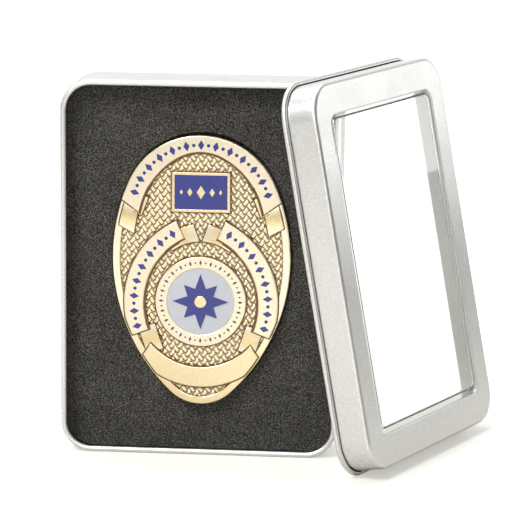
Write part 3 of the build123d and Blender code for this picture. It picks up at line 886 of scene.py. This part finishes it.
def side_ends(x, y):
    """Where the side banners lie over the tails at their ends."""
    return y < -15.5 or y > 4.0 and abs(x) < 13.5


def foot_ends(x, y):
    """Where the foot banner lies over the lower tails."""
    return abs(x) > 13.0 and y > -28.0


def towards_foot(at):
    """Share of painted shade by which the rim's gilt grows warmer and darker, from its waist to the badge's foot."""
    return max(0.0, min(1.0, (-12.0 - at.y) / 20.0))


def make_badge():
    """All stampings, the weave between them and the ornaments laid into them."""
    # the rim's lower part takes a painted shade
    stamped("badge_plate", "badge_body", GILT_RIM, 0.32, above=-3.0, outline=False,
            dull=towards_foot)
    stamped("crown_banner", "top_ribbon", GILT_RIBBON, 0.3, raised=low_crown, slope=(*CROWN, 20.0))
    for side, centre in (("left", LEFT_SIDE), ("right", RIGHT_SIDE)):
        stamped(f"side_banner_{side}", f"{side}_ribbon", GILT_RIBBON, 0.3, raised=side_ends,
                slope=(*centre, 23.0))
    stamped("foot_banner", "foot_ribbon", GILT, 0.3, raised=foot_ends)
    for side, sign in (("left", -1), ("right", 1)):
        stamped(f"crown_fold_{side}", f"top_fold_{side}", GILT, 0.22, raised=low_crown)
        stamped(f"crown_tail_{side}", f"top_tail_{side}", GILT_TAIL, 0.12,
                curl=((sign * 21.5, 19.5), sign * 10.4, 8.1, 0.34))
        stamped(f"upper_end_{side}", f"upper_tail_{side}", GILT_TAIL, 0.12,
                curl=((sign * 9.5, 7.27), -sign * 109.3, 8.9, 0.46))
        stamped(f"lower_end_{side}", f"lower_tail_{side}", GILT_TAIL, 0.12,
                curl=((sign * 16.6, -18.4), -sign * 18.9, 8.2, 0.34))
    stamped("panel_border", "panel_frame", GILT, 0.14)
    stamped("panel_field", "panel_enamel", BLUE, 0.03, outline=False)
    stamped("seal_band", "seal_ring", GILT_RIBBON, 0.25)
    stamped("seal_field", "seal_enamel", WHITE, 0.05, outline=False)
    stamped("seal_star", "seal_motif", BLUE, 0.06, outline=False)
    stamped("seal_centre", "seal_boss", GILT, 0.25, outline=False)
    make_weave()
    blue = bmesh.new()
    inlay_row(blue, CROWN, 21.3, 17, 163, 25, BANNER_TOP)
    inlay_row(blue, LEFT_SIDE, 25.4, 122, 197, 15, BANNER_TOP)
    inlay_row(blue, RIGHT_SIDE, 25.4, 58, -17, 15, BANNER_TOP)
    lay_in("banner_inlay", blue, BLUE)
    marks = bmesh.new()
    inlay_row(marks, SEAL, 12.1, 0, 352.5, 48, SEAL_TOP, long=1.7, wide=0.8, dot=0.28)
    lay_in("seal_marks", marks, SLATE)
    lozenges = bmesh.new()
    for x, size in ((-6.0, 1.6), (-3.4, 2.6), (0.0, 4.2), (3.4, 2.6), (6.0, 1.6)):
        inlay(lozenges, (x, 23.6), PANEL_TOP, size, size * 0.62, 90)
    lay_in("panel_lozenges", lozenges, GILT)


# Floor and light

def make_floor():
    """Pale floor, white to the camera; its colour is painted shade, darker close to the case and greyer in
    reflections further out.
    """
    bm = bmesh.new()
    bmesh.ops.create_grid(bm, x_segments=1, y_segments=1, size=6.0)
    mesh = bpy.data.meshes.new("floor")
    bm.to_mesh(mesh)
    bm.free()
    floor = bpy.data.objects.new("floor", mesh)
    scene.collection.objects.link(floor)
    made, s, shader = material("white_floor", (0.82, 0.82, 0.815), 0.0, 0.35, Specular_IOR_Level=0.12)
    place = s.add("TexCoord").outputs["Object"]
    reach = s.add("VectorMath", {0: place}, operation="LENGTH").outputs["Value"]
    level = s.ramp(reach, 0.12, 0.5, 0.42, 1.0)
    # painted shade in the floor's colour: darker near the case, deepening its shadows and what the metal reflects,
    # and darker far out in place of the lamps' falloff
    near = s.ramp(reach, 0.1, 0.32, 0.65, 0.88)
    far = s.ramp(reach, 0.28, 0.7, 1.0, 0.3)
    s.feed(s.mix(s.math("MULTIPLY", near, far), (0, 0, 0), (1, 0.985, 0.93)), shader, "Base Color")
    path = s.add("LightPath")
    seen = s.math("MAXIMUM", path.outputs["Is Camera Ray"], path.outputs["Is Transmission Ray"])
    seen = s.math("MAXIMUM", seen, s.math("MULTIPLY", path.outputs["Is Glossy Ray"], 0.1))
    glow = s.add("Emission", {"Color": (1.0, 0.988, 0.94, 1), "Strength": s.math("MULTIPLY", level, seen)})
    both = s.add("AddShader", {0: shader.outputs[0], 1: glow.outputs[0]})
    s.feed(both.outputs[0], made.node_tree.nodes["Material Output"], "Surface")
    mesh.materials.append(made)


def make_world():
    """White to the camera; in reflections and light it has bright and dim sides, like a studio."""
    world = bpy.data.worlds.new("world")
    scene.world = world
    world.use_nodes = True
    s = Sheet(world.node_tree)
    shade = world.node_tree.nodes["Background"]
    x, y, z = s.add("SeparateXYZ", {0: s.add("TexCoord").outputs["Generated"]}).outputs
    behind = s.math("MULTIPLY", s.ramp(x, 0.25, 0.7, 1.0, 0.47), s.ramp(y, 0.6, 0.95, 1.0, 0.92))
    back = s.math("MULTIPLY", s.ramp(y, -0.45, 0.35), behind)
    sides = s.math("MAXIMUM", back, s.ramp(x, 0.45, -0.5, 0.3, 0.85))
    level = s.math("MULTIPLY", s.ramp(z, -0.2, 0.9, 0.75, 1.0), sides)
    before = s.math("MULTIPLY", s.ramp(x, 0.52, 0.05, 0.25, 0.88), s.ramp(x, -0.8, -0.4, 0.75, 1.0))
    path = s.add("LightPath").outputs
    glossy = s.math("MULTIPLY", path["Is Glossy Ray"], s.math("MAXIMUM", back, before))
    unseen = s.math("MAXIMUM", s.math("MULTIPLY", level, 0.6), glossy)
    shown = s.math("MAXIMUM", path["Is Camera Ray"], path["Is Transmission Ray"])
    s.feed(s.add("Mix", {0: shown, 2: unseen, 3: 1.0}, data_type="FLOAT").outputs[0], shade, "Strength")
    shade.inputs["Color"].default_value = (1, 1, 1, 1)


def soft_light(name, place, target, size, power):
    """Rectangular lamp that faces a target; metres and watts."""
    data = bpy.data.lights.new(name, "AREA")
    data.shape = "RECTANGLE"
    data.size, data.size_y = size
    data.energy = power
    lamp = bpy.data.objects.new(name, data)
    scene.collection.objects.link(lamp)
    aim = Vector(target) - Vector(place)
    lamp.matrix_world = Matrix.Translation(place) @ aim.to_track_quat("-Z", "Y").to_matrix().to_4x4()


make_tray()
make_lid()
make_pane()
make_foam()
make_badge()
for node in ("pin_plate", "pin_hinge", "pin_catch", "pin_needle"):
    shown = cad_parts[node]
    shown.data.materials.clear()
    shown.data.materials.append(STEEL)
make_floor()
make_world()
soft_light("overhead", (-0.1, 0.25, 1.0), (0, 0, 0.05), (0.7, 0.5), 6.0)
soft_light("key", (-0.45, -0.7, 0.95), (0, 0, 0.05), (0.45, 0.4), 11.0)
soft_light("rim", (0.318, 0.19, 0.15), (0.065, 0.01, 0.08), (0.13, 0.13), 0.08)
soft_light("fill", (0.15, -1.3, 0.5), (0.03, 0, 0.05), (0.4, 0.3), 3.0)
